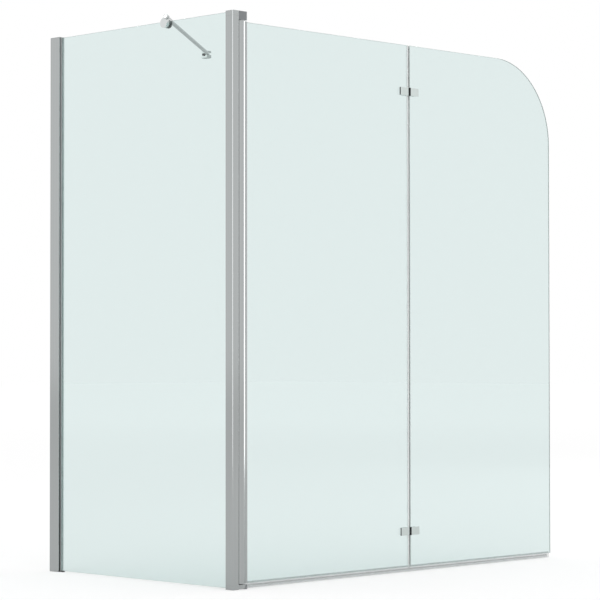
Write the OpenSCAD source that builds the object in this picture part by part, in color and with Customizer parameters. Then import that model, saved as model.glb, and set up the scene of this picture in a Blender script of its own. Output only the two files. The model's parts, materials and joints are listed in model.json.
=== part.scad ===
// Folding bath screen with a fixed return: a fixed side pane between a wall profile and a corner
// post, and two folding panes that pivot on the post and fold at a glass-to-glass hinge.
// Origin: where the two glass planes cross, at the foot of the corner post. The fixed pane runs
// along +Y to the wall, the folding panes along +X, and the outside of the screen is -X and -Y.

/* [Overall] */
// Length along the bath, from the post's outer face to the end of the glass
screen_l = 1200; // [1000:10:1500]
// Width of the return, from the post's front face to the wall
return_w = 680; // [600:10:900]
// Height of the corner post and of the wall profile
screen_h = 1365; // [1250:5:1500]

/* [Glass] */
// Thickness of the safety glass
glass_t = 5; // [4:0.5:6]
// Gap between the edges of the two folding panes
seam_gap = 8; // [7.5:0.5:10]
// Drop of the folding panes below the post's top
leaf_drop = 23; // [20:1:40]
// Height of the folding panes above the bath rim
leaf_lift = 12.5; // [12:0.5:16]
// Radius of the rounded top corner
corner_r = 220; // [60:5:300]
// Drop of the fixed pane below the post's top
side_drop = 2; // [1.5:0.5:4]
// Height of the fixed pane above the bath rim
side_lift = 3; // [2:0.5:5]

/* [Gaskets and seals] */
// Thickness of each glazing gasket
gasket_t = 2; // [1.5:0.25:2.5]
// Depth of each glazing gasket into its pocket
gasket_d = 8; // [6:0.5:10]
// Height of the bottom seal's grip on the glass
seal_grip = 4.5; // [3:0.5:8]
// Thickness of the bottom seal's cheeks
seal_t = 1.2; // [0.8:0.1:1.6]
// Clearance under the bottom seal
seal_clear = 1; // [0.5:0.25:2]
// Shortfall of the bottom seal at the free end of the glass
seal_short = 8; // [2:1:15]
// Thickness of the seam seal's cheeks
seam_t = 0.8; // [0.6:0.1:1]
// Depth of the seam seal's grip on the glass
seam_grip = 4; // [3:0.5:8]

/* [Corner post] */
// Width of the post seen from the front
post_x = 18.5; // [18:0.5:26]
// Depth of the post seen from the side
post_y = 26; // [26:0.5:32]
// Wall of the post
post_wall = 1.6; // [1.2:0.1:2]
// Radius of the post's outer arris
post_round = 3; // [1:0.5:5]
// Depth of the glazing pocket in the post and in the wall profile
pocket_d = 13; // [11:0.5:14]
// Height of the post's top cap
top_cap_h = 12; // [10:0.5:16]
// Height of the post's bottom cap
foot_cap_h = 10; // [9.5:0.25:10.5]
// Radius of the screw ports' bores
port_r = 1.6; // [1.4:0.1:1.8]

/* [Wall profile] */
// Depth of the wall channel
channel_d = 35.5; // [30:0.5:42]
// Wall of the channel and of the glazing profile's legs
channel_t = 1.6; // [1.2:0.1:2]
// Reach of the glazing profile in front of the channel
reveal = 4; // [3.5:0.5:10]
// Wall of the glazing profile beside the glass
slim_t = 1.3; // [1:0.1:1.6]
// Thickness of the glazing gaskets in the glazing profile
tape_t = 0.6; // [0.5:0.1:1]
// Radius of the wall screw holes
wall_hole_r = 3; // [2:0.25:3.5]
// Distance between the wall screw holes
wall_hole_step = 530; // [450:10:560]
// Distance between the side screws that lock the glazing profile
lock_step = 580; // [450:10:590]

/* [Pivot] */
// Radius of the round back of the pivot rail
rail_r = 13; // [12:0.5:15]
// Gap between the post and the pivot rail
rail_gap = 2; // [1.5:0.25:3]
// Reach of the rail's glazing pocket from the pivot axis
rail_reach = 18.5; // [17.5:0.5:22]
// Width of the rail's glazing pocket outside
rail_pocket_w = 15; // [13:0.5:18]
// Radius of the bore through the rail
rail_bore_r = 6; // [5.5:0.25:6.5]
// Radius of the pivot pins
pin_r = 4; // [3:0.25:4.5]
// Depth of the end bushes in the rail
bush_l = 24; // [15:1:40]
// Thickness of the end bushes' flanges
flange_t = 1.5; // [1:0.25:2]
// Thickness of the pivot brackets
bracket_t = 3; // [2:0.25:4]
// Reach of the pivot blocks past the post
block_l = 28; // [26:0.5:30]

/* [Hinges] */
// Height of each glass hinge
hinge_h = 20; // [18:1:40]
// Reach of each hinge plate from the seam
hinge_reach = 34; // [30:1:45]
// Thickness of the hinge plates
plate_t = 3; // [2:0.1:3.2]
// Thickness of the pads between hinge plate and glass
pad_t = 0.8; // [0.6:0.1:1]
// Radius of the hinge knuckle
knuckle_r = 2.4; // [2.2:0.1:3]
// Radius of the hinge pin
hinge_pin_r = 1.2; // [1:0.1:1.4]
// Distance of the upper hinge's centre below the top of the glass
upper_hinge_drop = 119; // [60:1:250]
// Distance of the lower hinge's centre above the bottom of the glass
lower_hinge_lift = 91; // [50:1:250]

/* [Stabiliser bar] */
// Radius of the bar
bar_r = 5; // [4:0.25:6]
// Wall of the bar
bar_wall = 1; // [0.8:0.1:1.4]
// Height of the bar's axis above the post's top
bar_rise = 8.5; // [8:0.5:14]
// Distance of the clamp from the post's front face
clamp_at = 244.5; // [150:5:400]
// Distance of the bar's wall bracket from the post's outer face
bar_foot_at = 538.5; // [400:5:700]
// Radius of the glass clamp
clamp_r = 12; // [10:0.5:14]
// Length of the glass clamp across the glass
clamp_l = 21; // [20:0.5:26]
// Width of the wall bracket
foot_w = 16.5; // [16:0.5:22]
// Height of the wall bracket
foot_h = 20; // [19:0.5:26]
// Depth of the wall bracket
foot_d = 20; // [19.5:0.5:24]

/* [Fits] */
// Radial running clearance of the pivots
run_gap = 0.05; // [0.02:0.01:0.1]
// Gap between moving faces
move_gap = 0.3; // [0.25:0.05:0.5]
// Gap of a fixed slip fit
slip_gap = 0.1; // [0.05:0.05:0.2]
// Gap between a pane's edge and the bottom of its pocket
edge_gap = 1; // [0.5:0.25:1.5]

/* [Hidden] */
$fn = 48;

cut = 1;                                     // overrun of every cutting shape
half_glass = glass_t / 2;
slot_w = glass_t + 2 * gasket_t;             // width of every glazing pocket
post_hx = post_x / 2;
post_hy = post_y / 2;
wall_y = return_w - post_hy;                 // face of the bathroom wall
end_x = screen_l - post_hx;                  // free end of the folding glass

// Heights
side_z0 = side_lift;
side_z1 = screen_h - side_drop;
leaf_z0 = leaf_lift;
leaf_z1 = screen_h - leaf_drop;
rail_z0 = leaf_z0 + 0.5;
rail_z1 = leaf_z1 + 0.5;
post_z0 = foot_cap_h;
post_z1 = screen_h - top_cap_h;
top_block_z0 = rail_z1 + flange_t + move_gap;
bottom_block_z1 = rail_z0 - flange_t - move_gap;

// Pivot and rail
pivot_x = post_hx + rail_gap + rail_r;
mouth_x = pivot_x + rail_reach;              // open end of the rail's pocket
rail_slot_x = pivot_x + rail_bore_r + 2;     // bottom of the rail's pocket
leaf_x0 = rail_slot_x + edge_gap;
top_flange_r = rail_r - 0.2;                 // passes over the glass's top corner
low_flange_r = rail_bore_r + 2;              // stops short of the glass
block_x1 = post_hx + block_l;
block_round = 1.2;
seat_x1 = pivot_x + 7;                       // joint between the metal seat and the dark block

// Seam: the outer pane folds flat on the inner one and ends clear of the rail
fold_room = 4;
seam_x = (end_x + mouth_x + fold_room) / 2;
inner_x1 = seam_x - seam_gap / 2;
outer_x0 = seam_x + seam_gap / 2;

// Hinge section, measured from the seam and from the glass mid-plane
face_y = half_glass + pad_t;                 // glass side of each hinge plate
plate_y = face_y + plate_t;                  // outer face of each hinge plate
fold_y = -(plate_y + 0.7);                   // fold axis, outside the glass
plate_end = knuckle_r + 0.5;                 // clearance round the knuckles
screw_off = (hinge_reach + plate_end) / 2;   // glass bore, from the seam
knuckle_h = hinge_h / 3;
glass_hole_r = 6;
boss_r = 4;
hinge_screw_r = 2;
back_start = 6;
back_reach = screw_off + 5.5;
hinge_zs = [leaf_z1 - upper_hinge_drop, leaf_z0 + lower_hinge_lift];

// Seam seal
web_t = 1;
bulb_r = (seam_gap - 2 * web_t - move_gap) / 2;

// Bottom seal
seal_gap = 0.5;                              // end gap at the rail and at each side of the seam
skirt_hy = half_glass + 0.7;

// Wall profile
channel_y0 = wall_y - channel_d;
head_y0 = channel_y0 - reveal;
pocket_y1 = head_y0 + pocket_d;
slim_hx = half_glass + tape_t + slim_t;      // the glazing profile's half width beside the glass
shoulder_y = channel_y0 + 14;                // where it widens to slide in the channel
lip_l = 1;                                   // the channel gaskets' lips on the glazing profile
side_y0 = post_hy - pocket_d + edge_gap;
side_y1 = pocket_y1 - edge_gap;
slide_hx = post_hx - channel_t - slip_gap;
leg_y1 = wall_y - 8;
lock_y = channel_y0 + 20;
lock_screw_r = 2;
lock_head_r = 3.6;
lock_head_h = 2.4;
cover_r = 5.5;
cover_h = 4;
wall_cap_h = 1.5;

// Post section
port_x = 4.5;
chamber_y0 = -post_hy + post_wall;
chamber_y1 = post_hy - pocket_d - post_wall;
port_y = (chamber_y0 + chamber_y1) / 2;
port_boss_r = 3;
seal_groove = 1.2;
seal_hy = 1.2;

// Pivot brackets
tab_hy = 8;                                  // half width outside the post
tab_x1 = pivot_x + 8;
tongue_x0 = -post_hx + post_wall + 0.4;
tongue_y0 = chamber_y0 + 0.4;
tongue_y1 = chamber_y1 - 0.4;
bracket_head_r = 3;
bracket_head_h = 2.2;
bracket_screw_l = 14;
bracket_screw_r = port_r;
cap_room = bracket_t + bracket_head_h + 0.4;
top_bracket_z = post_z1;
bottom_bracket_z = post_z0 - bracket_t;
seat_z0 = 1.5;

// Stabiliser bar
bar_z = screen_h + bar_rise;
clamp_y = clamp_at - post_hy;
foot_x = bar_foot_at - post_hx;
swivel_y = wall_y - foot_d + 3.5;
bar_angle = atan2(swivel_y - clamp_y, foot_x);
bar_span = norm([foot_x, swivel_y - clamp_y]);
bar_bore_r = bar_r - bar_wall;
bar_t0 = -9.6;                               // outer end of the tube, from the clamp
bar_t1 = bar_span - 17;
plug_r = bar_r + 0.9;                        // the plug's rim stands out round the tube
collar_r = bar_r + 2;
collar_hl = 8.5;
clamp_z = screen_h - 6;
outer_pad_t = 1.5;
inner_pad_t = 4;
clamp_gap_z = side_z1 + 2;
clamp_screw_r = 2.5;
clamp_screw_z = clamp_z - 3;
eye_t = 5.6;
eye_r = 4.5;
fork_h = eye_t + 0.4;
swivel_r = 2.5;
foot_z = bar_z - 2;                          // middle of the wall bracket
plate_w = 12;
plate_d = 10.4;
foot_screw_r = 2;
foot_screw_y = wall_y - 8;
foot_head_r = 3.5;
foot_head_h = 3.5;
foot_hole_r = 2.5;

// Rounded rectangle with its own radius at each corner, counted from the low corner anticlockwise
module soft_rect(x0, y0, x1, y1, r) {
    polygon([[x0 + r[0], y0], [x1 - r[1], y0], [x1, y0 + r[1]], [x1, y1 - r[2]],
        [x1 - r[2], y1], [x0 + r[3], y1], [x0, y1 - r[3]], [x0, y0 + r[0]]]);
    translate([x0 + r[0], y0 + r[0]])
        circle(r[0]);
    translate([x1 - r[1], y0 + r[1]])
        circle(r[1]);
    translate([x1 - r[2], y1 - r[2]])
        circle(r[2]);
    translate([x0 + r[3], y1 - r[3]])
        circle(r[3]);
}

// Box between two corners
module box(a, b) {
    translate(a)
        cube(b - a);
}

// Extrusion up Z between two heights
module upright(z0, z1) {
    translate([0, 0, z0])
        linear_extrude(z1 - z0)
            children();
}

// Extrusion along X of a section drawn in Y and Z
module along_x(x0, x1) {
    translate([x0, 0, 0])
        rotate([90, 0, 90])
            linear_extrude(x1 - x0)
                children();
}

// Rod along X from one place to another
module rod_x(x0, x1, y, z, r) {
    translate([x0, y, z])
        rotate([0, 90, 0])
            cylinder(h = x1 - x0, r = r);
}

// Rod along Y from one place to another
module rod_y(y0, y1, x, z, r) {
    translate([x, y0, z])
        rotate([-90, 0, 0])
            cylinder(h = y1 - y0, r = r);
}

// Places a rod's own Z along the stabiliser bar, at a distance from the clamp
module on_bar(t) {
    translate([0, clamp_y, bar_z])
        rotate([0, 0, bar_angle])
            translate([t, 0, 0])
                rotate([0, 90, 0])
                    children();
}

// Two gaskets that grip a pane, drawn for a pocket that opens along +X
module gasket_pair(x0, x1, t = gasket_t) {
    for (side = [-1, 1])
        translate([x0, side * (half_glass + t / 2) - t / 2])
            square([x1 - x0, t]);
}

// Outer outline of the corner post
module post_outline() {
    soft_rect(-post_hx, -post_hy, post_hx, post_hy, [post_round, 0.8, 0.8, 0.8]);
}

// Outline of a pivot bracket: a tongue inside the post and a wide tab outside
module bracket_outline(grow = 0) {
    translate([tongue_x0 - grow, tongue_y0 - grow])
        square([post_hx + cut - tongue_x0 + grow, tongue_y1 - tongue_y0 + 2 * grow]);
    translate([post_hx, -tab_hy - grow])
        square([tab_x1 - post_hx + grow, 2 * (tab_hy + grow)]);
}

// Fixed side: wall profile

module wall_channel() {
    color("silver")
        difference() {
            upright(wall_cap_h, screen_h - wall_cap_h)
                difference() {
                    translate([-post_hx, channel_y0])
                        square([post_x, channel_d]);
                    translate([-post_hx + channel_t, channel_y0 - cut])
                        square([post_x - 2 * channel_t, channel_d + cut - channel_t]);
                }
            for (i = [-1:1])
                rod_y(wall_y - channel_t - cut, wall_y + cut, 0,
                    screen_h / 2 + i * wall_hole_step, wall_hole_r);
            for (i = [-1:1])
                rod_x(slide_hx, post_hx + cut, lock_y, screen_h / 2 + i * lock_step,
                    lock_screw_r + slip_gap);
        }
}

// Plastic cover that closes one end of the wall channel, with a rim inside it
module wall_cap() {
    upright(0, wall_cap_h)
        translate([-post_hx, channel_y0])
            square([post_x, channel_d]);
    upright(wall_cap_h, wall_cap_h + 4)
        translate([-post_hx + channel_t, wall_y - 7])
            square([post_x - 2 * channel_t, 7 - channel_t]);
}

module wall_top_cap() {
    color("silver")
        translate([0, 0, screen_h])
            mirror([0, 0, 1])
                wall_cap();
}

module wall_bottom_cap() {
    color("silver")
        wall_cap();
}

module glazing_profile() {
    color("silver")
        difference() {
            upright(wall_cap_h, screen_h - wall_cap_h)
                difference() {
                    union() {
                        translate([-slim_hx, head_y0])
                            square([2 * slim_hx, shoulder_y + cut - head_y0]);
                        translate([-slide_hx, shoulder_y])
                            square([2 * slide_hx, channel_t]);
                        for (side = [-1, 1])
                            translate([side * (slide_hx - channel_t / 2) - channel_t / 2, shoulder_y])
                                square([channel_t, leg_y1 - shoulder_y]);
                    }
                    translate([-half_glass - tape_t, head_y0 - cut])
                        square([glass_t + 2 * tape_t, pocket_d + cut]);
                    translate([-half_glass, pocket_y1 + slim_t])
                        square([glass_t, shoulder_y - pocket_y1 - slim_t]);
                }
            for (i = [-1:1])
                rod_x(0, post_hx, lock_y, screen_h / 2 + i * lock_step, lock_screw_r + run_gap);
        }
}

module lock_screws() {
    color("gainsboro")
        for (i = [-1:1]) {
            z = screen_h / 2 + i * lock_step;
            rod_x(slide_hx - channel_t - 2, post_hx + cut, lock_y, z, lock_screw_r);
            rod_x(post_hx, post_hx + lock_head_h, lock_y, z, lock_head_r);
        }
}

module lock_screw_covers() {
    color("silver")
        for (i = [-1:1]) {
            z = screen_h / 2 + i * lock_step;
            difference() {
                union() {
                    rod_x(post_hx, post_hx + cover_h - 1, lock_y, z, cover_r);
                    translate([post_hx + cover_h - 1, lock_y, z])
                        rotate([0, 90, 0])
                            cylinder(h = 1, r1 = cover_r, r2 = cover_r - 1);
                }
                rod_x(post_hx - cut, post_hx + lock_head_h + slip_gap, lock_y, z,
                    lock_head_r + slip_gap);
            }
        }
}

// Two wedge gaskets that close the channel's mouth, each with a lip along the glazing profile
module channel_gaskets() {
    wall_x = post_hx - channel_t;
    color("dimgray")
        upright(wall_cap_h, screen_h - wall_cap_h)
            for (side = [0, 1])
                mirror([side, 0])
                    polygon([[slim_hx, channel_y0 - lip_l], [slim_hx + 0.7, channel_y0 - lip_l],
                        [slim_hx + 1.2, channel_y0], [wall_x, channel_y0],
                        [wall_x, channel_y0 + 6], [slim_hx, channel_y0 + 6]]);
}

module wall_gaskets() {
    color("lightgray")
        upright(side_z0, screen_h - 2 * wall_cap_h)
            rotate(90)
                gasket_pair(head_y0 + 0.5, head_y0 + 0.5 + gasket_d, tape_t);
}

module side_glass() {
    color("lightcyan", 0.4)
        box([-half_glass, side_y0, side_z0], [half_glass, side_y1, side_z1]);
}

module setting_blocks() {
    color("dimgray") {
        box([-half_glass, side_y0, 1], [half_glass, side_y0 + 10, side_z0]);
        box([-half_glass, channel_y0 - 11, 0], [half_glass, channel_y0 - slip_gap, side_z0]);
    }
}

// Fixed side: corner post and its pivots

module corner_post() {
    color("silver")
        upright(post_z0, post_z1)
            difference() {
                union() {
                    difference() {
                        post_outline();
                        translate([-post_hx + post_wall, chamber_y0])
                            square([post_x - 2 * post_wall, chamber_y1 - chamber_y0]);
                    }
                    for (side = [-1, 1])
                        translate([side * port_x, port_y]) {
                            circle(port_boss_r);
                            square([post_wall, chamber_y1 - chamber_y0 + 0.4], center = true);
                        }
                }
                for (side = [-1, 1])
                    translate([side * port_x, port_y])
                        circle(port_r);
                translate([-slot_w / 2, post_hy - pocket_d])
                    square([slot_w, pocket_d + cut]);
                translate([post_hx - seal_groove, -seal_hy])
                    square([seal_groove + cut, 2 * seal_hy]);
            }
}

module post_gaskets() {
    color("lightgray")
        upright(post_z0, post_z1)
            rotate(90)
                gasket_pair(post_hy - 0.5 - gasket_d, post_hy - 0.5);
}

// End cap of the post, drawn for the foot: room for the bracket, and a slot for the glass edge
module post_cap(h, glass_low) {
    difference() {
        upright(0, h)
            post_outline();
        box([-post_hx + post_wall, chamber_y0, h - cap_room],
            [post_hx - post_wall, chamber_y1, h + cut]);
        box([0, tongue_y0 - slip_gap, h - bracket_t - slip_gap],
            [post_hx + cut, tongue_y1 + slip_gap, h + cut]);
        box([-half_glass - slip_gap, side_y0 - slip_gap, glass_low],
            [half_glass + slip_gap, post_hy + cut, h + cut]);
    }
}

module post_top_cap() {
    color("silver")
        translate([0, 0, screen_h])
            mirror([0, 0, 1])
                post_cap(top_cap_h, side_drop - slip_gap);
}

module post_bottom_cap() {
    color("silver")
        post_cap(foot_cap_h, 1);
}

// Soft strip that closes the joint behind the round back of the rail
module post_seal() {
    color("dimgray")
        upright(rail_z0, rail_z1)
            intersection() {
                translate([post_hx - seal_groove, -seal_hy])
                    square([seal_groove + rail_gap, 2 * seal_hy]);
                union() {
                    translate([post_hx - seal_groove, -seal_hy])
                        square([seal_groove + rail_gap - move_gap - seal_hy, 2 * seal_hy]);
                    translate([post_hx + rail_gap - move_gap - seal_hy, 0])
                        circle(seal_hy);
                }
            }
}

module pivot_bracket() {
    difference() {
        linear_extrude(bracket_t)
            bracket_outline();
        translate([pivot_x, 0, -cut])
            cylinder(h = bracket_t + 2 * cut, r = pin_r);
        for (side = [-1, 1])
            translate([side * port_x, port_y, -cut])
                cylinder(h = bracket_t + 2 * cut, r = bracket_screw_r + slip_gap);
    }
}

module top_pivot_bracket() {
    color("gainsboro")
        translate([0, 0, top_bracket_z])
            pivot_bracket();
}

module bottom_pivot_bracket() {
    color("gainsboro")
        translate([0, 0, bottom_bracket_z])
            pivot_bracket();
}

// Screw that stands on its head, with the head's top face at zero
module bracket_screw() {
    cylinder(h = bracket_head_h, r = bracket_head_r);
    cylinder(h = bracket_head_h + bracket_screw_l, r = bracket_screw_r);
}

module bracket_screws() {
    color("gainsboro")
        for (side = [-1, 1]) {
            translate([side * port_x, port_y, bottom_bracket_z - bracket_head_h])
                bracket_screw();
            translate([side * port_x, port_y, top_bracket_z + bracket_t + bracket_head_h])
                mirror([0, 0, 1])
                    bracket_screw();
        }
}

// Plan of a pivot block between two places along X
module block_plan(x0, x1, r0, r1) {
    soft_rect(x0, -post_hy + 0.5, x1, post_hy - 0.5, [r0, r1, r1, r0]);
}

module top_pivot_block() {
    color("gray")
        difference() {
            upright(top_block_z0, screen_h)
                block_plan(post_hx, block_x1, 0.5, block_round);
            upright(top_bracket_z - slip_gap, top_bracket_z + bracket_t + slip_gap)
                bracket_outline(slip_gap);
            translate([pivot_x, 0, top_block_z0 - cut])
                cylinder(h = top_bracket_z + bracket_t - top_block_z0 + cut, r = pin_r + slip_gap);
        }
}

module bottom_pivot_seat() {
    color("silver")
        difference() {
            upright(seat_z0, bottom_block_z1)
                block_plan(post_hx, seat_x1, 0.5, 0.5);
            upright(bottom_bracket_z - slip_gap, bottom_bracket_z + bracket_t + slip_gap)
                bracket_outline(slip_gap);
            translate([pivot_x, 0, seat_z0 + 1.5])
                cylinder(h = rail_z0, r = pin_r + slip_gap);
        }
}

module bottom_pivot_block() {
    color("gray")
        difference() {
            upright(0, bottom_block_z1)
                block_plan(seat_x1, block_x1, 0.5, block_round);
            upright(bottom_bracket_z - slip_gap, bottom_bracket_z + bracket_t + slip_gap)
                bracket_outline(slip_gap);
            translate([pivot_x, 0, seat_z0])
                cylinder(h = rail_z0, r = pin_r + slip_gap);
        }
}

module top_pivot_pin() {
    color("gainsboro")
        translate([pivot_x, 0, rail_z1 - bush_l + 2])
            cylinder(h = top_bracket_z + bracket_t - (rail_z1 - bush_l + 2), r = pin_r);
}

module bottom_pivot_pin() {
    color("gainsboro")
        translate([pivot_x, 0, seat_z0 + 1.5])
            cylinder(h = rail_z0 + bush_l - 2 - (seat_z0 + 1.5), r = pin_r);
}

// Fixed side: stabiliser bar

module bar_tube() {
    color("gainsboro")
        on_bar(bar_t0)
            difference() {
                cylinder(h = bar_t1 - bar_t0, r = bar_r);
                translate([0, 0, -cut])
                    cylinder(h = bar_t1 - bar_t0 + 2 * cut, r = bar_bore_r);
            }
}

module bar_end_plug() {
    color("gainsboro") {
        on_bar(bar_t0 - 2.4)
            cylinder(h = 1, r1 = plug_r - 1, r2 = plug_r);
        on_bar(bar_t0 - 1.4)
            cylinder(h = 1.4, r = plug_r);
        on_bar(bar_t0 - cut)
            cylinder(h = 6 + cut, r = bar_bore_r);
    }
}

module bar_clamp() {
    color("gainsboro")
        difference() {
            union() {
                rod_x(-clamp_l / 2, clamp_l / 2, clamp_y, clamp_z, clamp_r);
                on_bar(-collar_hl)
                    cylinder(h = 2 * collar_hl, r = collar_r);
            }
            on_bar(-collar_hl - clamp_l)
                cylinder(h = 2 * (collar_hl + clamp_l), r = bar_r + run_gap);
            on_bar(-collar_hl - clamp_l)
                cylinder(h = clamp_l, r = plug_r + slip_gap);
            box([-half_glass - outer_pad_t, clamp_y - clamp_r - cut, clamp_z - clamp_r - cut],
                [half_glass + inner_pad_t, clamp_y + clamp_r + cut, clamp_gap_z]);
            rod_x(0, clamp_l / 2 + cut, clamp_y, clamp_screw_z, clamp_screw_r);
        }
}

// Round rubber pad between a jaw and the glass
module clamp_pad(x0, x1) {
    intersection() {
        rod_x(x0, x1, clamp_y, clamp_z, clamp_r - 0.2);
        box([x0 - cut, clamp_y - clamp_r, clamp_z - clamp_r],
            [x1 + cut, clamp_y + clamp_r, clamp_gap_z - slip_gap]);
    }
}

module clamp_outer_pad() {
    color("dimgray")
        clamp_pad(-half_glass - outer_pad_t, -half_glass);
}

module clamp_inner_pad() {
    color("dimgray")
        clamp_pad(half_glass, half_glass + inner_pad_t);
}

module clamp_screw() {
    color("gainsboro")
        difference() {
            rod_x(half_glass + inner_pad_t, clamp_l / 2 - 0.5, clamp_y, clamp_screw_z,
                clamp_screw_r);
            translate([clamp_l / 2 - 2.5, clamp_y, clamp_screw_z])
                rotate([0, 90, 0])
                    cylinder(h = 3, r = 1.4, $fn = 6);
        }
}

module bar_eye() {
    color("gainsboro")
        difference() {
            union() {
                on_bar(bar_t1 - 12)
                    cylinder(h = 12 + cut, r = bar_bore_r);
                on_bar(bar_t1)
                    cylinder(h = 3, r = bar_r);
                translate([0, clamp_y, bar_z - eye_t / 2])
                    rotate([0, 0, bar_angle]) {
                        translate([bar_t1 + 2, -eye_r, 0])
                            cube([bar_span - bar_t1 - 2, 2 * eye_r, eye_t]);
                        translate([bar_span, 0, 0])
                            cylinder(h = eye_t, r = eye_r);
                    }
            }
            translate([foot_x, swivel_y, bar_z - eye_t])
                cylinder(h = 2 * eye_t, r = swivel_r);
        }
}

module bar_wall_bracket() {
    hw = foot_w / 2;
    hh = foot_h / 2;
    pw = plate_w / 2 + slip_gap;
    color("gainsboro")
        difference() {
            translate([foot_x, wall_y, foot_z])
                rotate([90, 0, 0])
                    linear_extrude(foot_d)
                        soft_rect(-hw, -hh, hw, hh, [2.5, 2.5, 2.5, 2.5]);
            box([foot_x - hw - cut, wall_y - foot_d - cut, bar_z - fork_h / 2],
                [foot_x + hw + cut, swivel_y + eye_r + 0.5, bar_z + fork_h / 2]);
            box([foot_x - pw, wall_y - plate_d - slip_gap, foot_z - pw],
                [foot_x + pw, wall_y + cut, foot_z + pw]);
            translate([foot_x, swivel_y, foot_z - foot_h])
                cylinder(h = 2 * foot_h, r = swivel_r);
            rod_x(foot_x - hw - cut, foot_x - plate_w / 2, foot_screw_y, foot_z, foot_screw_r);
        }
}

module bar_wall_plate() {
    pw = plate_w / 2;
    color("gainsboro")
        difference() {
            box([foot_x - pw, wall_y - plate_d, foot_z - pw], [foot_x + pw, wall_y, foot_z + pw]);
            rod_y(wall_y - plate_d - cut, wall_y + cut, foot_x, foot_z, foot_hole_r);
            translate([foot_x, wall_y - plate_d - 0.01, foot_z])
                rotate([-90, 0, 0])
                    cylinder(h = 2.5, r1 = foot_hole_r + 2.5, r2 = foot_hole_r);
        }
}

module bar_swivel_pin() {
    color("gainsboro")
        translate([foot_x, swivel_y, foot_z - foot_h / 2 + 0.5])
            cylinder(h = foot_h - 1, r = swivel_r);
}

// Cap screw that holds the bracket on its wall plate, with its head on the bracket's side
module bar_bracket_screw() {
    x0 = foot_x - foot_w / 2;
    color("dimgray")
        difference() {
            union() {
                rod_x(x0 - foot_head_h, x0, foot_screw_y, foot_z, foot_head_r);
                rod_x(x0 - cut, foot_x - plate_w / 2, foot_screw_y, foot_z, foot_screw_r);
            }
            translate([x0 - foot_head_h - cut, foot_screw_y, foot_z])
                rotate([0, 90, 0])
                    cylinder(h = cut + 2, r = 1.7, $fn = 6);
        }
}

// Inner leaf

module pivot_rail() {
    color("silver")
        upright(rail_z0, rail_z1)
            difference() {
                union() {
                    translate([pivot_x, 0])
                        circle(rail_r, $fn = 96);
                    soft_rect(pivot_x, -rail_pocket_w / 2, mouth_x, rail_pocket_w / 2,
                        [0.8, 0.8, 0.8, 0.8]);
                }
                translate([pivot_x, 0])
                    circle(rail_bore_r);
                translate([rail_slot_x, -slot_w / 2])
                    square([mouth_x + cut - rail_slot_x, slot_w]);
            }
}

// Flanged bush in the lower end of the rail, with its flange's foot at zero
module rail_bush(flange_r) {
    difference() {
        union() {
            cylinder(h = flange_t, r = flange_r);
            cylinder(h = flange_t + bush_l, r = rail_bore_r);
        }
        translate([0, 0, -cut])
            cylinder(h = flange_t + bush_l + 2 * cut, r = pin_r + run_gap);
    }
}

module rail_top_bush() {
    color("dimgray")
        translate([pivot_x, 0, rail_z1 + flange_t])
            mirror([0, 0, 1])
                rail_bush(top_flange_r);
}

module rail_bottom_bush() {
    color("dimgray")
        translate([pivot_x, 0, rail_z0 - flange_t])
            rail_bush(low_flange_r);
}

module rail_gaskets() {
    color("lightgray")
        upright(rail_z0, leaf_z1)
            gasket_pair(mouth_x - 0.5 - gasket_d, mouth_x - 0.5);
}

module inner_glass() {
    color("lightcyan", 0.4)
        difference() {
            box([leaf_x0, -half_glass, leaf_z0], [inner_x1, half_glass, leaf_z1]);
            for (z = hinge_zs)
                rod_y(-glass_t, glass_t, seam_x - screw_off, z, glass_hole_r);
        }
}

// Section of the bottom seal in Y and Z: two cheeks, a web, a hollow skirt and a drip fin
module seal_section() {
    drop = leaf_lift - seal_clear;
    translate([0, leaf_z0]) {
        for (side = [-1, 1])
            translate([side * (half_glass + seal_t / 2) - seal_t / 2, -1.7])
                square([seal_t, seal_grip + 1.7]);
        translate([-half_glass - seal_t - 0.4, seal_grip - 2])
            square([seal_t + 0.4, 2]);
        translate([-half_glass - seal_t, -1.7])
            square([glass_t + 2 * seal_t, 1.7]);
        difference() {
            translate([-skirt_hy, -drop])
                square([2 * skirt_hy, drop - 1]);
            translate([-skirt_hy + 1, -drop + 1])
                square([2 * skirt_hy - 2, drop - 2.9]);
        }
        polygon([[skirt_hy - 0.2, -2.4], [skirt_hy - 0.2, -3.6], [skirt_hy + 2.6, -7.6],
            [skirt_hy + 3.1, -7.0]]);
    }
}

module inner_bottom_seal() {
    color("lightgray")
        along_x(mouth_x + seal_gap, seam_x - seal_gap)
            seal_section();
}

// Seam seal on the edge of a pane, drawn for the inner pane: cheeks, web and, if asked, a bulb
module seam_seal(bulb) {
    difference() {
        upright(leaf_z0 + seal_grip + 0.5, leaf_z1) {
            for (side = [-1, 1])
                translate([inner_x1 - seam_grip, side * (half_glass + seam_t / 2) - seam_t / 2])
                    square([seam_grip + 0.2, seam_t]);
            translate([inner_x1, -half_glass - seam_t])
                square([web_t, glass_t + 2 * seam_t]);
            if (bulb)
                difference() {
                    union() {
                        translate([inner_x1 + web_t + bulb_r, 0])
                            circle(bulb_r);
                        translate([inner_x1 + web_t - 0.5, -1.2])
                            square([1.5, 2.4]);
                    }
                    translate([inner_x1 + web_t + bulb_r, 0])
                        circle(bulb_r - 0.9);
                }
        }
        for (z = hinge_zs)
            for (side = [-1, 1])
                translate([inner_x1, side * (half_glass + 5), z])
                    cube([4 * seam_grip, 10, hinge_h + 1], center = true);
    }
}

module inner_seam_seal() {
    color("gray")
        seam_seal(true);
}

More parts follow.
